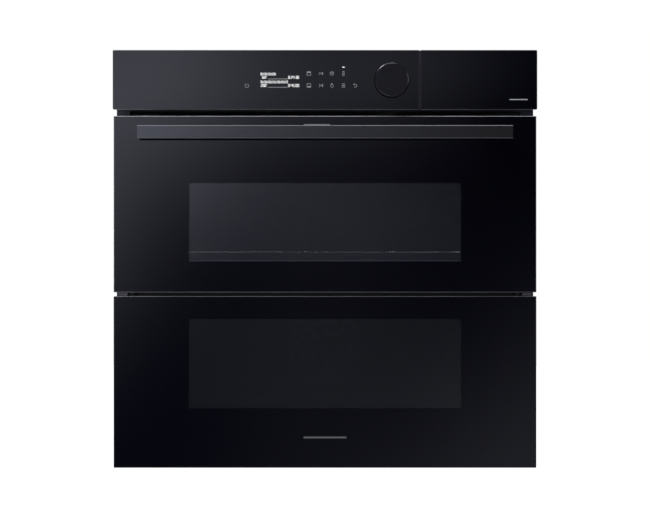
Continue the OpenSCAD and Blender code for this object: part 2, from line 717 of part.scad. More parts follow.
module upper_bottom_trim() color("#3a3c40") place() difference() {
    union() {
        wide(column_out, [y_glass_back, y_door_back], [z_upper, z_upper + 2]);
        wide(column_in, [y_door_back - 2, y_door_back], [z_upper + 2, upper_pane_z[0]]);
        wide(pane_half, [y_door_back, y_pack_back], [upper_pane_z[0] - 2, upper_pane_z[0]]);
        both_sides() fold_leaf([[281.4, 285.1]], [z_upper - 1.5, z_upper], fold_pin_r + running);
    }
    both_sides() latch_hole([z_upper - 1, z_upper + 3]);
    translate([0, -10.5, z_upper - 3]) linear_extrude(8) slot_row(16, 30, 22, 4);
}

module latch_hole(z) span([latch_x - 3.8, latch_x + 0.8], [latch_y - 2.8, latch_y + 2.8], z);

module upper_top_trim() color("#3a3c40") place() difference() {
    union() {
        wide(column_out, [y_glass_back, y_door_back], [z_door_top - 2, z_door_top]);
        wide(column_in, [y_door_back - 2, y_door_back], [upper_pane_z[1], z_door_top - 2]);
        wide(pane_half, [y_door_back, y_pack_back], [upper_pane_z[1], upper_pane_z[1] + 2]);
    }
    translate([0, -10.5, z_door_top - 5]) linear_extrude(8) slot_row(16, 30, 22, 4);
}

// Bolts in the side profiles. The release lever lifts them out of the lower door
module latch_bolts() color("#c8cacc") place() both_sides() {
    span([latch_x - 3.4, latch_x + 0.4], [latch_y - 2.4, latch_y + 2.4], [z_split - 1.5, z_upper + 60]);
    span([latch_x - 6, latch_x + 3], [latch_y - 3.4, latch_y + 3.4], [z_upper + 24, z_upper + 44]);
}

module handle_bar() color("#3c3d42") place() difference() {
    along_x([-handle_w / 2, handle_w / 2]) polygon([
        [bar_y[0], bar_z[0] + 0.8], [bar_y[0] + 0.8, bar_z[0]], [bar_y[1], bar_z[0]],
        [bar_y[1], bar_z[1]], [bar_y[0] + 0.8, bar_z[1]], [bar_y[0], bar_z[1] - 0.8]
    ]);
    span([lever_x - lever_w / 2 - lever_slot, lever_x + lever_w / 2 + lever_slot],
        [bar_y[0] + 3 - lever_slot, bar_y[1] - 2.5], [bar_z[1] - 8.5, bar_z[1] + 1]);
}

module handle_posts() color("#3c3d42") place() both_sides()
    span(post_span, [bar_y[1], y_glass], [bar_z[0] + 2, bar_z[1] - 3]);

module release_lever() color("#4c4d52") place()
    span([lever_x - lever_w / 2, lever_x + lever_w / 2], [bar_y[0] + 3, bar_y[1] - 3], [bar_z[1] - 5, bar_z[1] + 1.6]);

// ---------- what each name draws ----------

base_pan();
feet();
side_panel_left();
side_panel_right();
top_cover();
rear_cover();
front_frame();
cavity_liner();
insulation();
cavity_gasket();
fan_cover();
ring_heaters();
motors();
grill_heater();
bottom_heater();
lamp_housing();
lamp_glass();
side_rack_left();
side_rack_right();
temperature_probe();
air_duct();
blower_housing();
control_board();
display_module();
panel_frame();
panel_glass();
dial_encoder();
tank_housing();
steam_pump();
terminal_block();
hinge_arms();
casing_screws();
dial_plunger();
dial_knob();
tank_front();
tank_tub();
tank_lid();
lower_glass();
lower_columns();
lower_panes();
lower_bottom_trim();
lower_top_trim();
hinge_cases();
hinge_pins();
split_seal();
upper_glass();
upper_columns();
upper_panes();
upper_bottom_trim();
upper_top_trim();
handle_bar();
handle_posts();
release_lever();
latch_bolts();
divider();
wire_shelf();
baking_tray();
convection_fan_upper();
convection_fan_lower();
blower_wheel();
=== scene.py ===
"""Built-in wall oven: materials, display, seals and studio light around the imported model."""

import math

import bmesh
import bpy
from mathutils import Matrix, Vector


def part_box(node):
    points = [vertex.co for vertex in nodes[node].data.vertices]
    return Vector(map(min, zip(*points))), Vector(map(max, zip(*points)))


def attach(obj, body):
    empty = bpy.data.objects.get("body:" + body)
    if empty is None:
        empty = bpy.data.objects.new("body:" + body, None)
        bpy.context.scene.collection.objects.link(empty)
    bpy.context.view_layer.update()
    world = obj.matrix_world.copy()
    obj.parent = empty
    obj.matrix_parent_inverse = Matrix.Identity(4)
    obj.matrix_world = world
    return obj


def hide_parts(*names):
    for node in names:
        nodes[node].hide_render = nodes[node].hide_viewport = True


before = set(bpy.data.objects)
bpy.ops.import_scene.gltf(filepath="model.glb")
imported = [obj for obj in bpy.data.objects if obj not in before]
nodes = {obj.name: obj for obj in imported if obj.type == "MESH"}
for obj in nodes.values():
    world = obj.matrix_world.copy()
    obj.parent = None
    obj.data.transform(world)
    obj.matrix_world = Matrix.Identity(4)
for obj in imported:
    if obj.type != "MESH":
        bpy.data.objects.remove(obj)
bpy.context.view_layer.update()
scene = bpy.context.scene
scene.view_settings.view_transform = "Standard"
scene.view_settings.look = "None"

# ---------- camera ----------

front_low, front_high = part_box("panel_glass")
FRONT = front_low.y  # the plane of the front glasses
TOP = front_high.z
DISTANCE = 4.4
SEEN_WIDTH = 0.9108  # metres of the front's plane across the frame
SENSOR = 36
camera_data = bpy.data.cameras.new("camera")
camera_data.lens = SENSOR * DISTANCE / SEEN_WIDTH
camera = bpy.data.objects.new("camera", camera_data)
camera.location = (0, FRONT - DISTANCE, TOP / 2 + 0.0007)
camera.rotation_euler = (math.pi / 2, 0, 0)
scene.collection.objects.link(camera)
scene.camera = camera

# ---------- node helpers ----------


class Shader:
    """A material whose nodes are added by short calls."""

    def __init__(self, name):
        self.material = bpy.data.materials.new(name)
        self.material.use_nodes = True
        self.tree = self.material.node_tree
        self.tree.nodes.clear()
        self.output = self.tree.nodes.new("ShaderNodeOutputMaterial")

    def add(self, kind, inputs=None, **settings):
        node = self.tree.nodes.new("ShaderNode" + kind)
        for key, value in settings.items():
            setattr(node, key, value)
        for key, value in (inputs or {}).items():
            self.put(node.inputs[key], value)
        return node

    def put(self, socket, value):
        if isinstance(value, bpy.types.NodeSocket):
            self.tree.links.new(value, socket)
        elif isinstance(value, (tuple, list)) and len(value) == 3 and socket.type == "RGBA":
            socket.default_value = (*value, 1)
        else:
            socket.default_value = value

    def math(self, operation, a, b=0.0, clamp=False):
        """A sum, product or the like of two values or sockets."""
        return self.add("Math", {0: a, 1: b}, operation=operation, use_clamp=clamp).outputs[0]

    def place(self, scale=(1, 1, 1)):
        """Object coordinates, which are metres in the shared frame, stretched by scale."""
        coordinate = self.add("TexCoord").outputs["Object"]
        return self.add("Mapping", {"Vector": coordinate, "Scale": scale}).outputs[0]

    def axis(self, index):
        """One of the three object coordinates: 0, 1 and 2 are x, y and z."""
        return self.add("SeparateXYZ", {0: self.add("TexCoord").outputs["Object"]}).outputs[index]

    def noise(self, scale, detail=3.0, stretch=(1, 1, 1), rough=0.5):
        inputs = {"Scale": scale, "Detail": detail, "Roughness": rough}
        return self.add("TexNoise", {"Vector": self.place(stretch), **inputs}).outputs["Fac"]

    def ramp(self, value, low, high):
        """A value from 0 to 1 becomes low to high."""
        return self.add("MapRange", {"Value": value, "To Min": low, "To Max": high}).outputs[0]

    def step(self, value, start, end):
        """0 on start's side and 1 on end's side, with a slope between."""
        return self.add("MapRange", {"Value": value, "From Min": start, "From Max": end}).outputs[0]

    def mix(self, factor, a, b):
        """One colour or another. The Mix node's colour sockets are inputs 6 and 7 and output 2."""
        return self.add("Mix", {0: factor, 6: a, 7: b}, data_type="RGBA").outputs[2]

    def blend(self, factor, first, second):
        """One surface or another."""
        return self.add("MixShader", {0: factor, 1: first, 2: second}).outputs[0]

    def gloss(self, rough, colour=(1, 1, 1)):
        return self.add("BsdfGlossy", {"Color": colour, "Roughness": rough}).outputs[0]

    def clear(self, colour):
        return self.add("BsdfTransparent", {"Color": colour}).outputs[0]

    def diffuse(self, colour):
        return self.add("BsdfDiffuse", {"Color": colour}).outputs[0]

    def mirror(self, ior):
        return self.add("Fresnel", {"IOR": ior}).outputs[0]

    def bump(self, height, distance, strength=1.0):
        inputs = {"Height": height, "Distance": distance, "Strength": strength}
        return self.add("Bump", inputs).outputs[0]

    def principled(self, **inputs):
        named = {key.replace("_", " "): value for key, value in inputs.items()}
        return self.add("BsdfPrincipled", named).outputs[0]

    def finish(self, surface):
        self.tree.links.new(surface, self.output.inputs[0])
        return self.material


def inside_box(shader, half_x, z_low, z_high, soft=0.0004):
    """1 where |x| is under half_x and z is between the two heights, 0 elsewhere."""
    in_x = shader.step(shader.math("ABSOLUTE", shader.axis(0)), half_x + soft, half_x)
    above = shader.step(shader.axis(2), z_low - soft, z_low)
    below = shader.step(shader.axis(2), z_high + soft, z_high)
    return shader.math("MULTIPLY", in_x, shader.math("MULTIPLY", above, below))


# ---------- materials ----------

GLASS_IOR = 1.5
SEAM_BORDER = 0.0016  # width of the ground border on each side of the seam in the panel


def printed_black(s, top_edge_painted_light, low_edge_painted_light, seam=None):
    """Black printed glass: mirror gloss with faint wipe marks over black ink, and a ground edge.

    The two edge arguments set how pale the ground edge is where it faces up and down. This
    paleness is painted light and shade: an edge is made paler where the studio lights it and
    darker where it lies shaded in a gap. Beside the seam, given by its x, the front has a
    ground border too.
    """
    wipe = s.ramp(s.noise(9, 4, (1, 1, 2.5)), 0.012, 0.032)
    ink = s.mix(s.noise(240, 2), (0.0007, 0.0008, 0.0024), (0.0011, 0.0012, 0.0034))
    normal = s.add("SeparateXYZ", {0: s.add("TexCoord").outputs["Normal"]})
    edge = s.step(s.math("ABSOLUTE", normal.outputs[1]), 0.95, 0.85)
    # Painted light and shade: how pale the ground edge is depends on whether it faces up or down.
    pale = s.ramp(s.step(normal.outputs[2], -0.5, 0.5), low_edge_painted_light, top_edge_painted_light)
    pale = s.math("MULTIPLY", pale, s.ramp(s.noise(500, 2), 0.85, 1.15))
    ground = s.add("CombineColor", {0: pale, 1: pale, 2: s.math("MULTIPLY", pale, 1.15)})
    colour = s.mix(edge, ink, ground.outputs[0])
    if seam:
        from_seam = s.math("ABSOLUTE", s.math("SUBTRACT", s.axis(0), seam))
        border = s.step(from_seam, SEAM_BORDER + 0.0003, SEAM_BORDER)
        colour = s.mix(border, colour, (0.022, 0.0212, 0.031))
        edge = s.math("MAXIMUM", edge, border)
    rough = s.math("ADD", s.math("MULTIPLY", edge, 0.3), wipe)
    return s.principled(Base_Color=colour, Roughness=rough, IOR=GLASS_IOR)


def black_glass(name, seam):
    """The control panel's glass and the drawer front beside it."""
    s = Shader(name)
    # The panel's ground edge is set nearly black where it faces up and pale where it faces down;     the pale lower edge is painted light.
    return s.finish(printed_black(s, 0.006, 0.075, seam))


def door_glass(name, z_low, z_high, top_edge_painted_light, low_edge_painted_light, milk, rim_milk, half_x=0.1905):
    """Black printed glass with a clear, tinted window.

    milk is how much the window scatters, and rim_milk how much more a thin rim at its foot does.
    """
    s = Shader(name)
    haze = s.diffuse((0.082, 0.088, 0.125))
    rim = s.math("MULTIPLY", s.step(s.axis(2), z_low + 0.0016, z_low + 0.0006), rim_milk)
    amount = s.math("ADD", s.ramp(s.noise(30, 3), milk * 0.9, milk * 1.1), rim, True)
    body = s.blend(amount, s.clear((0.80, 0.80, 0.80)), haze)
    window = s.blend(s.mirror(GLASS_IOR), body, s.gloss(0.02))
    mask = inside_box(s, half_x, z_low, z_high)
    return s.finish(s.blend(mask, printed_black(s, top_edge_painted_light, low_edge_painted_light), window))


def clear_pane(name, z_low, z_high, coating, half_x=0.236):
    """Inner door glass: smoke-tinted, with a reflective coating and a black fired border."""
    s = Shader(name)
    tint = s.mix(s.noise(8, 2), (0.58, 0.60, 0.62), (0.62, 0.64, 0.66))
    glass = s.blend(s.mirror(1.0 + coating), s.clear(tint), s.gloss(0.02, (1.0, 0.98, 0.97)))
    fired = s.principled(
        Base_Color=(0.008, 0.008, 0.009), Roughness=s.ramp(s.noise(60), 0.06, 0.12), IOR=GLASS_IOR
    )
    return s.finish(s.blend(inside_box(s, half_x, z_low, z_high, 0.001), fired, glass))


def small_glass(name, tint):
    """Ribbed, half frosted glass over the oven lamp."""
    s = Shader(name)
    ribs = s.add("TexWave", {"Vector": s.place(), "Scale": 90.0, "Distortion": 0.5}).outputs["Fac"]
    frost = s.principled(Base_Color=(0.75, 0.75, 0.70), Roughness=0.3, Normal=s.bump(ribs, 0.0006))
    body = s.blend(0.45, s.clear(tint), frost)
    return s.finish(s.blend(s.mirror(GLASS_IOR), body, s.gloss(0.08)))


def galvanised(name):
    """Zinc-coated sheet with crystal spangle, a rolled grain and a few dull streaks."""
    s = Shader(name)
    cells = s.add("TexVoronoi", {"Vector": s.place(), "Scale": 120.0})
    shade = s.add("SeparateColor", {0: cells.outputs["Color"]}).outputs[0]
    cloud = s.noise(6, 5)
    tone = s.math("ADD", s.math("MULTIPLY", shade, 0.40), s.math("MULTIPLY", cloud, 0.60))
    colour = s.mix(tone, (0.34, 0.36, 0.38), (0.56, 0.58, 0.60))
    rough = s.ramp(tone, 0.50, 0.36)
    grain = s.noise(420, 2, (0.05, 1, 1))
    rolled = s.bump(grain, 0.00012, 0.5)
    return s.finish(
        s.principled(Base_Color=colour, Metallic=0.9, Roughness=rough, Normal=rolled)
    )


def coated_steel(name, dark, light, low=0.28, high=0.42):
    """Powder-coated or painted steel with a fine orange peel."""
    s = Shader(name)
    colour = s.mix(s.noise(14, 5), dark, light)
    rough = s.ramp(s.noise(70, 3), low, high)
    peel = s.bump(s.noise(900, 2), 0.00006, 0.6)
    return s.finish(s.principled(Base_Color=colour, Roughness=rough, IOR=1.5, Normal=peel))


def enamel(name):
    """Glossy dark blue-grey oven enamel with light flecks and a slightly wavy surface."""
    s = Shader(name)
    flecks = s.add("TexVoronoi", {"Vector": s.place(), "Scale": 420.0}).outputs["Distance"]
    spot = s.step(flecks, 0.16, 0.10)
    rare = s.step(s.noise(160, 1), 0.61, 0.66)
    base = s.mix(s.noise(10, 4), (0.020, 0.026, 0.036), (0.030, 0.037, 0.050))
    colour = s.mix(s.math("MULTIPLY", spot, rare), base, (0.14, 0.155, 0.18))
    wave = s.bump(s.noise(28, 1), 0.0002, 0.3)
    rough = s.ramp(s.noise(25, 3), 0.13, 0.22)
    return s.finish(s.principled(Base_Color=colour, Roughness=rough, IOR=1.55, Normal=wave))


def metal(
    name, dark, light, low, high, stretch=(1, 1, 1), grain=300, depth=0.00005, turn=0.0, film=0.0
):
    """Bare or anodised metal between two colours and two roughnesses, with a grain.

    film is how much of the light an anodised film scatters.
    """
    s = Shader(name)
    lines = s.noise(grain, 3, stretch)
    colour = s.mix(lines, dark, light)
    rough = s.ramp(s.noise(40, 3), low, high)
    bump = s.bump(lines, depth, 0.5)
    surface = s.principled(
        Base_Color=colour, Metallic=1.0, Roughness=rough, Anisotropic=turn, Normal=bump
    )
    if film:
        surface = s.blend(film, surface, s.diffuse((0.30, 0.305, 0.33)))
    return s.finish(surface)


def heated_steel(name):
    """Sheathed heater tube, discoloured by use."""
    s = Shader(name)
    colour = s.mix(s.noise(18, 4), (0.10, 0.085, 0.075), (0.24, 0.20, 0.17))
    colour = s.mix(s.step(s.noise(7, 3), 0.5, 0.65), colour, (0.10, 0.11, 0.16))
    return s.finish(
        s.principled(
            Base_Color=colour,
            Metallic=0.9,
            Roughness=s.ramp(s.noise(90), 0.35, 0.6),
            Normal=s.bump(s.noise(700, 2), 0.0001),
        )
    )


def eroded_plastic(s, colour, rough):
    """Moulded plastic with a spark-eroded texture."""
    return s.principled(
        Base_Color=colour,
        Roughness=s.ramp(s.noise(120), rough - 0.08, rough + 0.1),
        Normal=s.bump(s.noise(1300, 2), 0.0001, 0.6),
    )


def moulded(name, colour, rough=0.45):
    s = Shader(name)
    lighter = tuple(min(1, c * 1.5 + 0.004) for c in colour)
    return s.finish(eroded_plastic(s, s.mix(s.noise(20, 4), colour, lighter), rough))


def wool(name):
    """Yellowish glass-wool mat."""
    s = Shader(name)
    fibre = s.noise(180, 6, (1, 3, 1), 0.7)
    colour = s.mix(fibre, (0.50, 0.44, 0.25), (0.80, 0.74, 0.52))
    return s.finish(s.principled(Base_Color=colour, Roughness=0.95, Normal=s.bump(fibre, 0.003)))


def braid(name, dark, light):
    """Woven glass-fibre sleeve: two crossing waves around the rope."""
    s = Shader(name)
    one, two = (
        s.add(
            "TexWave",
            {"Vector": s.place((lean, 1, 1)), "Scale": 160.0, "Distortion": 1.5},
            bands_direction="DIAGONAL",
        ).outputs["Fac"]
        for lean in (1, -1)
    )
    weave = s.math("MULTIPLY", one, two)
    colour = s.mix(weave, dark, light)
    raised = s.bump(weave, 0.0006)
    return s.finish(
        s.principled(Base_Color=colour, Roughness=0.85, Sheen_Weight=0.2, Normal=raised)
    )


BOARD_TOP = 0.5156  # height of the control board's upper face


def circuit_board(name):
    """Green board with tracks, and black and grey parts above its upper face."""
    s = Shader(name)
    tracks = s.add("TexBrick", {"Vector": s.place(), "Scale": 60.0}).outputs["Fac"]
    board = s.mix(s.math("MULTIPLY", tracks, 0.4), (0.01, 0.09, 0.04), (0.04, 0.22, 0.10))
    cell = s.add("TexVoronoi", {"Vector": s.place(), "Scale": 34.0}).outputs["Color"]
    pick = s.add("SeparateColor", {0: cell}).outputs[0]
    parts = s.mix(s.step(pick, 0.45, 0.5), (0.02, 0.02, 0.022), (0.10, 0.10, 0.11))
    colour = s.mix(s.step(s.axis(2), BOARD_TOP, BOARD_TOP + 0.0006), board, parts)
    return s.finish(s.principled(Base_Color=colour, Roughness=s.ramp(s.noise(50), 0.3, 0.5)))


def rubber(name):
    """Black rubber foot."""
    s = Shader(name)
    colour = s.mix(s.noise(60, 4), (0.012, 0.012, 0.012), (0.03, 0.03, 0.03))
    grain = s.bump(s.noise(800), 0.0002)
    return s.finish(s.principled(Base_Color=colour, Roughness=0.8, Normal=grain))


def painted_shadow_fibre(name):
    """Near-black fibre surface for the ring round the dial: painted shadow."""
    s = Shader(name)
    fibre = s.noise(1500, 3)
    colour = s.mix(fibre, (0.0006, 0.0006, 0.0008), (0.002, 0.002, 0.0024))
    fuzz = s.bump(fibre, 0.0003)
    return s.finish(
        s.principled(Base_Color=colour, Roughness=1.0, Specular_IOR_Level=0.1, Normal=fuzz)
    )


def clouded_plastic(name, black_before):
    """Blue-grey see-through tank plastic, moulded onto a black carrier before the given y."""
    s = Shader(name)
    colour = s.mix(s.noise(12, 3), (0.30, 0.40, 0.48), (0.45, 0.55, 0.62))
    uneven = s.bump(s.noise(90, 2), 0.0001)
    solid = s.principled(Base_Color=colour, Roughness=0.18, IOR=1.5, Normal=uneven)
    cloudy = s.blend(0.62, s.clear((0.80, 0.88, 0.93)), solid)
    black = eroded_plastic(s, (0.012, 0.012, 0.013), 0.45)
    behind = s.step(s.axis(1), black_before, black_before + 0.0002)
    return s.finish(s.blend(behind, black, cloudy))


def turned_metal(name, centre_x, centre_z):
    """Anodised dial, turned so that its grain runs round the centre."""
    s = Shader(name)
    dx = s.math("SUBTRACT", s.axis(0), centre_x)
    dz = s.math("SUBTRACT", s.axis(2), centre_z)
    radius = s.math("SQRT", s.math("ADD", s.math("MULTIPLY", dx, dx), s.math("MULTIPLY", dz, dz)))
    along = s.add("CombineXYZ", {0: radius}).outputs[0]
    rings = s.add("TexNoise", {"Vector": along, "Scale": 2600.0, "Detail": 2.0}).outputs["Fac"]
    colour = s.mix(rings, (0.036, 0.036, 0.042), (0.054, 0.054, 0.062))
    return s.finish(
        s.principled(
            Base_Color=colour,
            Metallic=1.0,
            Roughness=s.ramp(s.noise(60), 0.24, 0.32),
            Normal=s.bump(rings, 0.00003),
        )
    )


def glow(name, colour, strength, base=(0.6, 0.6, 0.6)):
    """Shapes that glow: the lit display and the panel's symbols, and printed marks on the
    drawer front and the door, whose glow is painted light.
    """
    s = Shader(name)
    return s.finish(
        s.principled(
            Base_Color=base,
            Roughness=0.4,
            Emission_Color=(*colour, 1),
            Emission_Strength=strength,
        )
    )


# ---------- places that the materials need ----------

upper_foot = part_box("upper_glass")[0].z
lower_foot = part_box("lower_glass")[0].z
upper_pane_low, upper_pane_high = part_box("upper_panes")
lower_pane_low, lower_pane_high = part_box("lower_panes")
dial_low, dial_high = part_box("dial_knob")
dial_centre = (dial_low + dial_high) / 2
SEAM = (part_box("panel_glass")[1].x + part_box("tank_front")[0].x) / 2
UPPER_WINDOW = (upper_foot + 0.0437, upper_foot + 0.1531)  # foot and top
LOWER_WINDOW = (lower_foot + 0.0837, lower_foot + 0.2083)
TANK_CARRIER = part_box("tank_lid")[0].y + 0.00005  # the tub in front of this is a black carrier

# ---------- materials in use ----------

panel_black = black_glass("panel_black_glass", SEAM)
zinc = galvanised("galvanised_sheet")
frame_paint = coated_steel("frame_dark_coat", (0.010, 0.012, 0.023), (0.016, 0.019, 0.035))
dark_enamel = enamel("cavity_enamel")
trim_coat = coated_steel(
    "door_trim_coat", (0.022, 0.021, 0.030), (0.032, 0.031, 0.043), 0.25, 0.4
)
plated = metal("zinc_plated", (0.48, 0.49, 0.50), (0.62, 0.63, 0.64), 0.25, 0.4)
pin_steel = metal("pin_steel", (0.15, 0.145, 0.19), (0.20, 0.195, 0.25), 0.38, 0.5)
black_oxide = metal("black_oxide", (0.030, 0.030, 0.033), (0.055, 0.055, 0.058), 0.35, 0.5)
bright_wire = metal(
    "chromed_wire", (0.60, 0.61, 0.62), (0.72, 0.73, 0.74), 0.18, 0.28, depth=0.00002
)
motor_steel = metal(
    "motor_steel", (0.38, 0.38, 0.38), (0.55, 0.55, 0.54), 0.35, 0.5, grain=120
)
impeller = metal("impeller_steel", (0.42, 0.42, 0.41), (0.56, 0.55, 0.53), 0.3, 0.5)
heater_tube = heated_steel("heater_sheath")
black_plastic = moulded("black_moulding", (0.010, 0.010, 0.011))
grey_plastic = moulded("grey_moulding", (0.09, 0.095, 0.10))
ceramic = moulded("lamp_ceramic", (0.62, 0.60, 0.55), 0.6)
glass_wool = wool("glass_wool")
seal_braid = braid("seal_braid", (0.010, 0.010, 0.010), (0.055, 0.055, 0.055))
board_green = circuit_board("circuit_board")
foot_rubber = rubber("foot_rubber")
tank_clear = clouded_plastic("tank_plastic", TANK_CARRIER)
lamp_clear = small_glass("lamp_cover", (0.9, 0.88, 0.82))
bar_metal = metal(
    "handle_anodised",
    (0.061, 0.062, 0.069),
    (0.073, 0.074, 0.082),
    0.10,
    0.13,
    stretch=(0.02, 1, 1),
    grain=900,
    depth=0.00001,
    turn=0.3,
    film=0.038,
)
lever_metal = metal(
    "lever_satin", (0.40, 0.40, 0.42), (0.46, 0.46, 0.48), 0.42, 0.52, depth=0.00001, film=0.24
)
dial_metal = turned_metal("dial_anodised", dial_centre.x, dial_centre.z)
# Painted highlight: the upper window's ground edge is set much paler where it faces up than down.
upper_window = door_glass(
    "upper_door_glass", *UPPER_WINDOW, top_edge_painted_light=0.31, low_edge_painted_light=0.08, milk=0.100, rim_milk=0.22
)
# Painted shade: the lower door's ground edges are set dark for the gap under the upper door.
lower_window = door_glass(
    "lower_door_glass", *LOWER_WINDOW, top_edge_painted_light=0.05, low_edge_painted_light=0.05, milk=0.052, rim_milk=0.0
)
upper_inner = clear_pane(
    "upper_inner_glass", upper_pane_low.z + 0.016, upper_pane_high.z - 0.045, coating=0.9
)
lower_inner = clear_pane(
    "lower_inner_glass", lower_pane_low.z + 0.016, lower_pane_high.z - 0.016, coating=0.3
)

FINISH = {
    "base_pan": zinc,
    "feet": foot_rubber,
    "side_panel_left": zinc,
    "side_panel_right": zinc,
    "top_cover": zinc,
    "rear_cover": zinc,
    "front_frame": frame_paint,
    "cavity_liner": dark_enamel,
    "insulation": glass_wool,
    "cavity_gasket": seal_braid,
    "fan_cover": dark_enamel,
    "ring_heaters": heater_tube,
    "motors": motor_steel,
    "grill_heater": heater_tube,
    "bottom_heater": heater_tube,
    "lamp_housing": ceramic,
    "lamp_glass": lamp_clear,
    "side_rack_left": bright_wire,
    "side_rack_right": bright_wire,
    "temperature_probe": bright_wire,
    "air_duct": zinc,
    "blower_housing": zinc,
    "control_board": board_green,
    "display_module": black_plastic,
    "panel_frame": black_plastic,
    "panel_glass": panel_black,
    "dial_encoder": plated,
    "tank_housing": black_plastic,
    "steam_pump": grey_plastic,
    "terminal_block": black_plastic,
    "hinge_arms": plated,
    "casing_screws": plated,
    "dial_plunger": plated,
    "dial_knob": dial_metal,
    "tank_front": panel_black,
    "tank_tub": tank_clear,
    "tank_lid": tank_clear,
    "lower_glass": lower_window,
    "lower_columns": trim_coat,
    "lower_panes": lower_inner,
    "lower_bottom_trim": trim_coat,
    "lower_top_trim": trim_coat,
    "hinge_cases": plated,
    "hinge_pins": pin_steel,
    "split_seal": black_plastic,
    "upper_glass": upper_window,
    "upper_columns": trim_coat,
    "upper_panes": upper_inner,
    "upper_bottom_trim": trim_coat,
    "upper_top_trim": trim_coat,
    "handle_bar": bar_metal,
    "handle_posts": bar_metal,
    "release_lever": lever_metal,
    "latch_bolts": black_oxide,
    "divider": dark_enamel,
    "wire_shelf": bright_wire,
    "baking_tray": dark_enamel,
    "convection_fan_upper": impeller,
    "convection_fan_lower": impeller,
    "blower_wheel": black_plastic,
}
for node_name, finish in FINISH.items():
    mesh = nodes[node_name].data
    mesh.materials.clear()
    mesh.materials.append(finish)

for node_name in ("handle_bar", "handle_posts", "release_lever"):  # edges that catch the light
    edge = nodes[node_name].modifiers.new("edge", "BEVEL")
    edge.width = 0.0005
    edge.segments = 2
    edge.limit_method = "ANGLE"
    edge.angle_limit = math.radians(40)

# ---------- small pieces ----------


def piece(name, bm, material, body):
    """A new piece from a bmesh, riding on a body."""
    mesh = bpy.data.meshes.new(name)
    bm.to_mesh(mesh)
    bm.free()
    mesh.materials.append(material)
    obj = bpy.data.objects.new(name, mesh)
    scene.collection.objects.link(obj)
    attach(obj, body)
    return obj


PRINT_Y = FRONT - 0.00006
PRINT_DEPTH = 0.00005


def printed(name, outlines, material, body):
    """Thin printed or lit shapes on the front glasses: each outline is a list of (x, z)."""
    bm = bmesh.new()
    for outline in outlines:
        sides = list(zip(outline, outline[1:] + outline[:1]))
        area = sum(a[0] * b[1] - b[0] * a[1] for a, b in sides)
        points = outline if area > 0 else outline[::-1]
        front = [bm.verts.new((x, PRINT_Y, z)) for x, z in points]
        back = [bm.verts.new((x, PRINT_Y + PRINT_DEPTH, z)) for x, z in points]
        bm.faces.new(front)
        bm.faces.new(back[::-1])
        for i in range(len(points)):
            j = (i + 1) % len(points)
            bm.faces.new((front[j], front[i], back[i], back[j]))
    piece(name, bm, material, body)


def bar(x0, x1, z0, z1):
    """An upright rectangle, as an outline."""
    return [(x0, z0), (x1, z0), (x1, z1), (x0, z1)]


def stroke(a, b, width):
    """A straight line from a to b, as an outline."""
    dx, dz = b[0] - a[0], b[1] - a[1]
    length = math.hypot(dx, dz)
    nx, nz = -dz / length * width / 2, dx / length * width / 2
    return [
        (a[0] - nx, a[1] - nz),
        (b[0] - nx, b[1] - nz),
        (b[0] + nx, b[1] + nz),
        (a[0] + nx, a[1] + nz),
    ]


def arc(cx, cz, radius, width, start=0, end=360, steps=20):
    """A ring or part of one, as short outlines."""
    found = []
    for i in range(steps):
        a, b = (math.radians(start + (end - start) * k / steps) for k in (i, i + 1))
        inner, outer = radius - width / 2, radius + width / 2
        corners = ((inner, a), (outer, a), (outer, b), (inner, b))
        found.append([(cx + r * math.cos(t), cz + r * math.sin(t)) for r, t in corners])
    return found


def frame_box(x0, x1, z0, z1, w):
    """An open rectangle drawn with lines of width w."""
    return [
        bar(x0, x1, z0, z0 + w),
        bar(x0, x1, z1 - w, z1),
        bar(x0, x0 + w, z0 + w, z1 - w),
        bar(x1 - w, x1, z0 + w, z1 - w),
    ]


SEGMENTS = {
    "0": "abcdef",
    "1": "bc",
    "2": "abged",
    "3": "abgcd",
    "4": "fgbc",
    "5": "afgcd",
    "6": "afgecd",
}


LINE = 0.00048  # width of a printed line
FIGURE_GAP = 0.0006


def digit(character, x, z, wide, high):
    """A seven-segment figure whose lower left corner is at x, z."""
    w, middle = LINE, z + high / 2
    parts = {
        "a": bar(x + w, x + wide - w, z + high - w, z + high),
        "g": bar(x + w, x + wide - w, middle - w / 2, middle + w / 2),
        "d": bar(x + w, x + wide - w, z, z + w),
        "f": bar(x, x + w, middle, z + high),
        "e": bar(x, x + w, z, middle),
        "b": bar(x + wide - w, x + wide, middle, z + high),
        "c": bar(x + wide - w, x + wide, z, middle),
    }
    return [parts[k] for k in SEGMENTS[character]]


def number(text, x, z, high):
    """Figures in a row, with a colon, or a small degree ring where the text has an o."""
    wide, found = high * 0.52, []
    for character in text:
        if character == ":":
            for f in (0.25, 0.62):
                found.append(bar(x, x + LINE, z + high * f, z + high * f + LINE))
            x += LINE + FIGURE_GAP
        elif character == "o":
            found += arc(x + 0.0005, z + high - 0.0006, 0.0005, 0.0003, steps=8)
        else:
            found += digit(character, x, z, wide, high)
            x += wide + FIGURE_GAP
    return found


def block_row(x0, x1, z0, z1, count, gap=0.00055, w=0.00034):
    """Plain open boxes and bars in a row, standing in for a word on the display."""
    wide, found = (x1 - x0 + gap) / count, []
    for i in range(count):
        a, b = x0 + i * wide, x0 + (i + 1) * wide - gap
        if i % 3 == 2:
            found.append(bar((a + b) / 2 - w * 0.7, (a + b) / 2 + w * 0.7, z0, z1))
        else:
            found += frame_box(a, b, z0, z1 - (0.0008 if i % 3 else 0), w)
    return found


white_glow = glow("display_white", (1, 1, 1), 0.85)
dim_glow = glow("display_dim", (0.5, 0.52, 0.55), 0.35)
glowing_print = glow("glowing_print", (0.55, 0.56, 0.60), 0.26, (0.2, 0.2, 0.2))
# The door's printed mark glows faintly: painted light.
print_with_painted_glow = glow("print_with_painted_glow", (0.5, 0.5, 0.52), 0.036, (0.055, 0.055, 0.06))

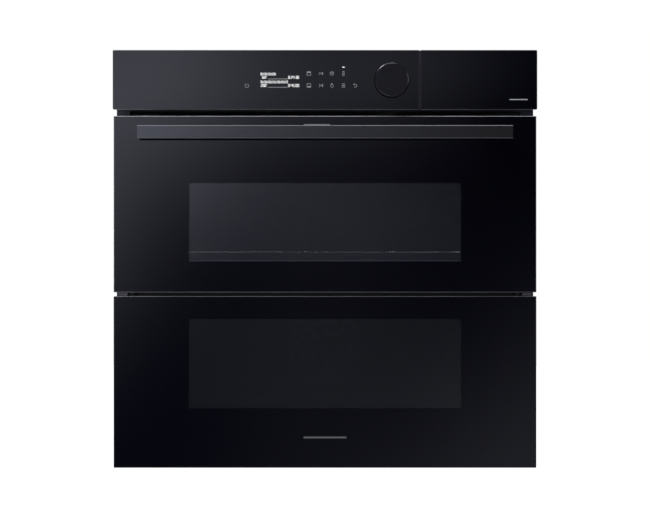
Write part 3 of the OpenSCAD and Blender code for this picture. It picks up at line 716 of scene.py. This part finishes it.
# The display: a line of plain blocks and a line of figures for each half of the oven.
rows = []
for x0, x1, z0, z1, count in (
    (-0.0903, -0.0689, 0.5530, 0.5568, 11),
    (-0.0901, -0.0522, 0.5419, 0.5457, 19),
):
    rows += block_row(x0, x1, z0, z1, count)
for text, x, z, high in (
    ("160o", -0.0893, 0.5484, 0.0032),
    ("0:24:30", -0.0515, 0.5482, 0.0040),
    ("200o", -0.0899, 0.5369, 0.0038),
    ("0:45:00", -0.0515, 0.5367, 0.0041),
):
    rows += number(text, x, z, high)
printed("display_figures", rows, white_glow, "casing")
lines = [bar(-0.0805, -0.0522, z, z + 0.0003) for z in (0.5478, 0.5362)]
printed("display_lines", lines, dim_glow, "casing")

# Touch symbols, in two rows and six columns.
TOP_ROW, LOW_ROW = 0.5556, 0.5388
POWER, OVEN, HALVES, CLOCK, PROBE, BACK = -0.1094, -0.0226, -0.0057, 0.0097, 0.0258, 0.0424
icons = arc(POWER, LOW_ROW - 0.0003, 0.0025, LINE, 120, 420, 18)
icons += [bar(POWER - 0.0002, POWER + 0.0002, LOW_ROW + 0.0006, LOW_ROW + 0.0028)]
for row, lit in ((TOP_ROW, 1), (LOW_ROW, -1)):
    icons += frame_box(OVEN - 0.0028, OVEN + 0.0028, row - 0.0028, row + 0.0028, LINE)
    shelf = row + lit * 0.0015
    icons += [bar(OVEN - 0.0020, OVEN + 0.0020, shelf - 0.0005, shelf + 0.0005)]
    for side in (-1, 1):
        for end in (-0.0020, 0.0020):
            far, near = HALVES + side * 0.0026, HALVES + side * 0.0006
            icons += [stroke((far, row + end), (near, row), LINE)]
    icons += [bar(HALVES + 0.0024, HALVES + 0.0029, row - 0.0020, row + 0.0020)]
# Then a clock, a thermometer, a drop, a list and a back arrow.
icons += arc(CLOCK, TOP_ROW, 0.0025, LINE)
icons += [bar(CLOCK - 0.0003, CLOCK + 0.0003, TOP_ROW, TOP_ROW + 0.0020)]
icons += [bar(CLOCK, CLOCK + 0.0017, TOP_ROW - 0.0003, TOP_ROW + 0.0003)]
icons += frame_box(PROBE - 0.0012, PROBE + 0.0012, TOP_ROW - 0.0006, TOP_ROW + 0.0032, LINE)
icons += arc(PROBE, TOP_ROW - 0.0018, 0.0013, LINE)
icons += arc(CLOCK, LOW_ROW - 0.0006, 0.0020, LINE)
for side in (-1, 1):
    icons += [stroke((CLOCK + side * 0.0015, LOW_ROW + 0.0006), (CLOCK, LOW_ROW + 0.0032), LINE)]
for z in (LOW_ROW - 0.0022, LOW_ROW, LOW_ROW + 0.0022):
    icons += [bar(PROBE - 0.0023, PROBE + 0.0023, z - 0.0003, z + 0.0003)]
icons += arc(BACK, LOW_ROW - 0.0004, 0.0020, LINE, -150, 90, 12)
icons += [bar(BACK - 0.0024, BACK, LOW_ROW + 0.0013, LOW_ROW + 0.0019)]
for z in (LOW_ROW + 0.0028, LOW_ROW + 0.0004):
    icons += [stroke((BACK - 0.0024, LOW_ROW + 0.0016), (BACK - 0.0012, z), LINE)]
printed("panel_icons", icons, glowing_print, "casing")
printed("active_marker", [bar(0.0242, 0.0276, 0.5640, 0.5650)], white_glow, "casing")

# Plain printed bars on the drawer front and low on the door. They glow, though nothing lights
# them: painted light.
printed("tank_mark", [bar(0.2585, 0.2840, 0.5184, 0.5198)], glowing_print, "water_tank")
printed("door_mark", [bar(-0.0300, 0.0300, 0.0443, 0.0469)], print_with_painted_glow, "lower_door")


# ---------- painted shadow ring round the dial, and door seal ---


def join_rings(bm, rings):
    """Faces between each ring of vertices and the next, and from the last to the first."""
    for i, ring in enumerate(rings):
        other = rings[(i + 1) % len(rings)]
        for k in range(len(ring)):
            j = (k + 1) % len(ring)
            bm.faces.new((ring[k], ring[j], other[j], other[k]))
    bmesh.ops.recalc_face_normals(bm, faces=bm.faces)


def flat_ring(name, centre, inner, outer, y_front, y_back, material, body, steps=96):
    """A thin flat ring round an axis along Y, with its outer front edge chamfered."""
    slope = (y_back - y_front) * 0.5
    profile = (
        (inner, y_front),
        (outer - slope, y_front),
        (outer, y_front + slope),
        (outer, y_back),
        (inner, y_back),
    )
    bm = bmesh.new()
    rings = []
    for i in range(steps):
        t = 2 * math.pi * i / steps
        c, s = math.cos(t), math.sin(t)
        rings.append([bm.verts.new((centre.x + r * c, y, centre.z + r * s)) for r, y in profile])
    join_rings(bm, rings)
    return piece(name, bm, material, body)


DIAL_RADIUS = (dial_high.x - dial_low.x) / 2
# Painted shadow: a near-black ring, a little wider than the dial, lies on the glass where the
# dial's shadow falls.
flat_ring(
    "dial_painted_shadow_ring",
    dial_centre,
    DIAL_RADIUS - 0.004,
    DIAL_RADIUS + 0.0013,
    FRONT - 0.0009,
    FRONT,
    painted_shadow_fibre("dial_painted_shadow"),
    "casing",
)

ROPE_STEP = 0.012  # length of rope between two rings of vertices
ROPE_SIDES = 14


def rounded_path(half_x, z_low, z_high, corner):
    """Points round a rectangle with round corners, with close steps on its straight sides."""
    path = []
    for cx, cz, start in (
        (half_x - corner, z_high - corner, 0),
        (-half_x + corner, z_high - corner, 90),
        (-half_x + corner, z_low + corner, 180),
        (half_x - corner, z_low + corner, 270),
    ):
        for k in range(9):
            t = math.radians(start + k * 90 / 8)
            path.append((cx + corner * math.cos(t), cz + corner * math.sin(t)))
    dense = []
    for p, q in zip(path, path[1:] + path[:1]):
        dx, dz = q[0] - p[0], q[1] - p[1]
        n = max(1, int(math.hypot(dx, dz) / ROPE_STEP))
        dense += [(p[0] + dx * k / n, p[1] + dz * k / n) for k in range(n)]
    return dense


def rope_loop(name, path, y, half_wide, half_deep, material, body):
    """A soft oval rope laid along a closed path in the x-z plane."""
    bm = bmesh.new()
    rings = []
    for i, (x, z) in enumerate(path):
        before, after = path[i - 1], path[(i + 1) % len(path)]
        dx, dz = after[0] - before[0], after[1] - before[1]
        length = math.hypot(dx, dz)
        ring = []
        for k in range(ROPE_SIDES):
            t = 2 * math.pi * k / ROPE_SIDES
            out = half_wide * math.cos(t)
            spot = (x + dz / length * out, y + half_deep * math.sin(t), z - dx / length * out)
            ring.append(bm.verts.new(spot))
        rings.append(ring)
    join_rings(bm, rings)
    for face in bm.faces:
        face.smooth = True
    return piece(name, bm, material, body)


gasket_low, gasket_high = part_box("cavity_gasket")
ROPE_HALF_WIDE = 0.0038
INSET = 0.004  # from the gasket's outer edge to the middle of the rope
rope = rope_loop(
    "door_seal_rope",
    rounded_path(gasket_high.x - INSET, gasket_low.z + INSET, gasket_high.z - INSET, 0.018),
    (gasket_low.y + gasket_high.y) / 2,
    ROPE_HALF_WIDE,
    (gasket_high.y - gasket_low.y) / 2,
    seal_braid,
    "casing",
)
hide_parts("cavity_gasket")

# ---------- studio ----------

world = bpy.data.worlds.new("studio")
scene.world = world
world.use_nodes = True
tree = world.node_tree
tree.nodes.clear()


def background(colour, strength):
    """One plain light from all round."""
    node = tree.nodes.new("ShaderNodeBackground")
    node.inputs["Color"].default_value = (*colour, 1)
    node.inputs["Strength"].default_value = strength
    return node.outputs[0]


# White where the camera looks past the oven, and a dim cool light from all round.
chosen = tree.nodes.new("ShaderNodeMixShader")
path = tree.nodes.new("ShaderNodeLightPath")
world_out = tree.nodes.new("ShaderNodeOutputWorld")
tree.links.new(path.outputs["Is Camera Ray"], chosen.inputs[0])
tree.links.new(background((0.93, 0.96, 1.0), 0.22), chosen.inputs[1])
tree.links.new(background((1, 1, 1), 1.0), chosen.inputs[2])
tree.links.new(chosen.outputs[0], world_out.inputs[0])


def area_light(name, location, target, width, height, power, colour=(1, 1, 1)):
    """A rectangular soft light at one place, facing another. Sizes in metres, power in watts."""
    data = bpy.data.lights.new(name, "AREA")
    data.shape = "RECTANGLE"
    data.size, data.size_y = width, height
    data.energy = power
    data.color = colour
    obj = bpy.data.objects.new(name, data)
    obj.location = location
    facing = Vector(target) - Vector(location)
    obj.rotation_euler = facing.to_track_quat("-Z", "Y").to_euler()
    scene.collection.objects.link(obj)
    return obj


# The first two draw the bright lines along the front's top edges, and the third the dial's
# highlight.
area_light("overhead", (-0.60, -0.82, 1.9), (-0.60, -0.60, 0), 2.2, 1.0, 17)
area_light("high_strip", (-0.50, -0.33, 1.9), (-0.50, -0.33, 0), 1.9, 0.18, 6.0)
area_light("upper_left", (-0.50, -0.46, 1.47), (0.09, -0.28, 0.54), 0.80, 0.24, 8)
low_left = area_light("low_left", (-0.95, -0.64, -0.08), (-0.2, -0.25, 0.5), 1.0, 0.42, 10)
low_left.visible_glossy = False  # so that the doors don't mirror it
area_light("key_left", (-2.2, -1.9, 1.4), (0, 0, 0.35), 0.9, 1.6, 22, (1.0, 0.99, 0.98))
area_light("side_right", (2.6, -0.1, 0.9), (0, -0.1, 0.3), 1.2, 1.6, 12, (0.97, 0.98, 1.0))
area_light("behind", (0.3, 3.0, 1.6), (0, 0, 0.3), 1.8, 1.4, 22)
# A faint one in the cavity, between the door's innermost pane and the shelf.
PANE_BACK = upper_pane_high.y
cavity_front = (0, PANE_BACK + 0.004, 0.365), (0, PANE_BACK + 0.016, 0.30)
area_light("cavity_front", *cavity_front, 0.42, 0.008, 0.105)


def flat_plane(name, corners, material):
    """A four-cornered sheet that belongs to the studio."""
    mesh = bpy.data.meshes.new(name)
    mesh.from_pydata(corners, [], [(0, 1, 2, 3)])
    mesh.materials.append(material)
    obj = bpy.data.objects.new(name, mesh)
    scene.collection.objects.link(obj)
    return obj


# The floor is white to the camera, lies lower than the folded doors hang, and can't be seen from
# underneath.
FLOOR = -0.34
FLOOR_REACH = 14
pale = Shader("pale_floor")
floor_colour = pale.mix(pale.noise(2, 3), (0.86, 0.86, 0.86), (0.90, 0.90, 0.90))
direct = pale.add("LightPath").outputs["Is Camera Ray"]
from_above = pale.math("SUBTRACT", 1, pale.add("NewGeometry").outputs["Backfacing"])
pale_floor = pale.finish(
    pale.principled(
        Base_Color=floor_colour,
        Roughness=0.9,
        Emission_Color=(1, 1, 1, 1),
        Emission_Strength=direct,
        Alpha=from_above,
    )
)
flat_plane(
    "floor",
    [(x * FLOOR_REACH, y * FLOOR_REACH, FLOOR) for x, y in ((-1, -1), (1, -1), (1, 1), (-1, 1))],
    pale_floor,
)

# A soft card behind the camera, which the front glasses mirror: bright above left, and a little
# below right. glass_x and glass_z are where on the glasses the camera sees a point of the card.
CARD_DISTANCE = 5.0
CARD_Y = FRONT - CARD_DISTANCE
SPREAD = 1 + CARD_DISTANCE / DISTANCE
MIDDLE = TOP / 2
card = Shader("reflected_card")
glass_x = card.math("DIVIDE", card.axis(0), SPREAD)
height = card.math("DIVIDE", card.math("SUBTRACT", card.axis(2), MIDDLE), SPREAD)
glass_z = card.math("ADD", height, MIDDLE)


def weighted(a, b, weight_a, weight_b):
    """a and b, each times its weight, added up."""
    return card.math("ADD", card.math("MULTIPLY", a, weight_a), card.math("MULTIPLY", b, weight_b))


def soft_patch(x, z, angle, along, across, amount):
    """A soft oval patch of light on the card, placed by where the front glasses mirror it."""
    c, s = math.cos(math.radians(angle)), math.sin(math.radians(angle))
    dx = card.math("SUBTRACT", glass_x, x)
    dz = card.math("SUBTRACT", glass_z, z)
    u = weighted(dx, dz, c / along, s / along)
    v = weighted(dx, dz, -s / across, c / across)
    q = card.math("ADD", card.math("MULTIPLY", u, u), card.math("MULTIPLY", v, v))
    return card.math("MULTIPLY", card.math("EXPONENT", card.math("MULTIPLY", q, -0.5)), amount)


light_amount = 0.0
for patch in (
    (-0.60, 0.29, 43, 0.22, 0.13, 2.75),
    (-0.22, 0.57, 16, 0.12, 0.10, 0.95),
    (0.08, 0.56, 13, 0.11, 0.06, 0.28),
    (0.05, 0.53, 79, 0.80, 0.10, 0.08),
    (0.04, -0.30, 45, 0.80, 0.13, 0.40),
):
    light_amount = card.math("ADD", light_amount, soft_patch(*patch))
shine = card.add("Emission", {"Color": (0.92, 0.95, 1.12), "Strength": light_amount}).outputs[0]
card_object = flat_plane(
    "card",
    [(x, CARD_Y, z) for x, z in ((-1.6, -0.33), (1.6, -0.33), (1.6, 1.9), (-1.6, 1.9))],
    card.finish(shine),
)
card_object.visible_camera = False
card_object.visible_shadow = False
